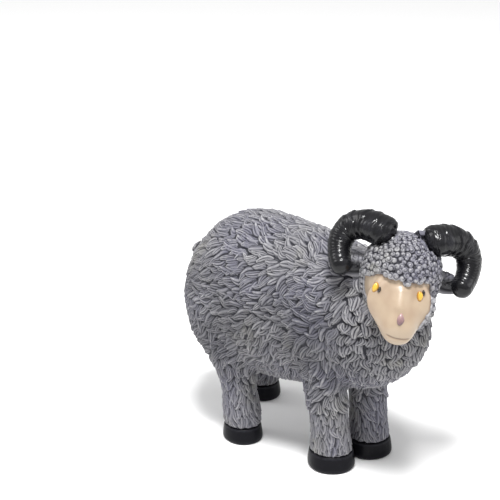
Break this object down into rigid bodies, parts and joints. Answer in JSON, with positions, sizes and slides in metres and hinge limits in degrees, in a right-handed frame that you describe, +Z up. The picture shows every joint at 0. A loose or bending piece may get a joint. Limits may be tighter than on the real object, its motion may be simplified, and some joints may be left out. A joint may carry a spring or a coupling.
{
  "type": "sheep figurine",
  "caption": "Small standing ram in painted cast resin, with a curly grey fleece, a cream face, curled black horns and black hooves, for a shelf.",
  "frame": {"origin": "on the surface that the ram stands on, under the middle of its bounding box", "axes": "+Z up, +Y from the chest to the rump along the body, so the ram looks along -Y; its own left is +X"},
  "size_m": [0.0446, 0.1022, 0.0867],
  "materials": {
    "fleece_paint": "semi-matte grey paint with a dark wash and light dry-brushing",
    "face_paint": "satin cream paint",
    "horn_paint": "glossy black paint",
    "hoof_paint": "satin black paint",
    "eye_paint": "glossy golden yellow paint",
    "pupil_paint": "glossy near-black paint",
    "nose_paint": "satin mauve-grey paint",
    "steel_wire": "bare drawn wire"
  },
  "bodies": {
    "root": {"ear_left": "fleece_paint", "ear_right": "fleece_paint", "eye_left": "eye_paint", "eye_right": "eye_paint", "face": "face_paint", "head": "fleece_paint", "hoof_front_left": "hoof_paint", "hoof_front_right": "hoof_paint", "hoof_rear_left": "hoof_paint", "hoof_rear_right": "hoof_paint", "horn_left": "horn_paint", "horn_peg_left": "steel_wire", "horn_peg_right": "steel_wire", "horn_right": "horn_paint", "leg_front_left": "fleece_paint", "leg_front_right": "fleece_paint", "leg_rear_left": "fleece_paint", "leg_rear_right": "fleece_paint", "leg_wire_front_left": "steel_wire", "leg_wire_front_right": "steel_wire", "leg_wire_rear_left": "steel_wire", "leg_wire_rear_right": "steel_wire", "neck_peg": "steel_wire", "nose": "nose_paint", "pupil_left": "pupil_paint", "pupil_right": "pupil_paint", "tail": "fleece_paint", "torso": "fleece_paint"}
  },
  "joints": []
}
